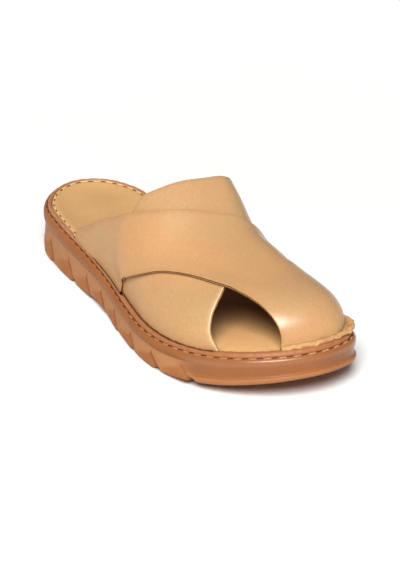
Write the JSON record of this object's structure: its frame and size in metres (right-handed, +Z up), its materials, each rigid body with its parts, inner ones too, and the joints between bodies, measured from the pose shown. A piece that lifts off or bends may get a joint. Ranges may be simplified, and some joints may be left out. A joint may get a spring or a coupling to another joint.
{
  "type": "slipper",
  "caption": "Open-backed leather mule slipper for the right foot: two crossing straps with a side cut-out, a dished footbed, a stitched welt and a lugged sole with toe spring.",
  "frame": {"origin": "middle of the bounding box at the floor, under the sole", "axes": "+X from heel to toe, +Y to the wearer's left, which is the inner side of this right shoe, +Z up"},
  "size_m": [0.26, 0.0954, 0.0772],
  "materials": {
    "outsole": "moulded caramel rubber with a soft satin gloss",
    "welt": "smooth caramel roll with a stitched groove beside it",
    "insole": "smooth tan lining leather, stitched round the heel rim",
    "upper": "smooth tan leather with fine grain and a satin gloss"
  },
  "bodies": {
    "root": {"outsole": "outsole", "welt": "welt", "insole": "insole", "upper": "upper"}
  },
  "joints": []
}
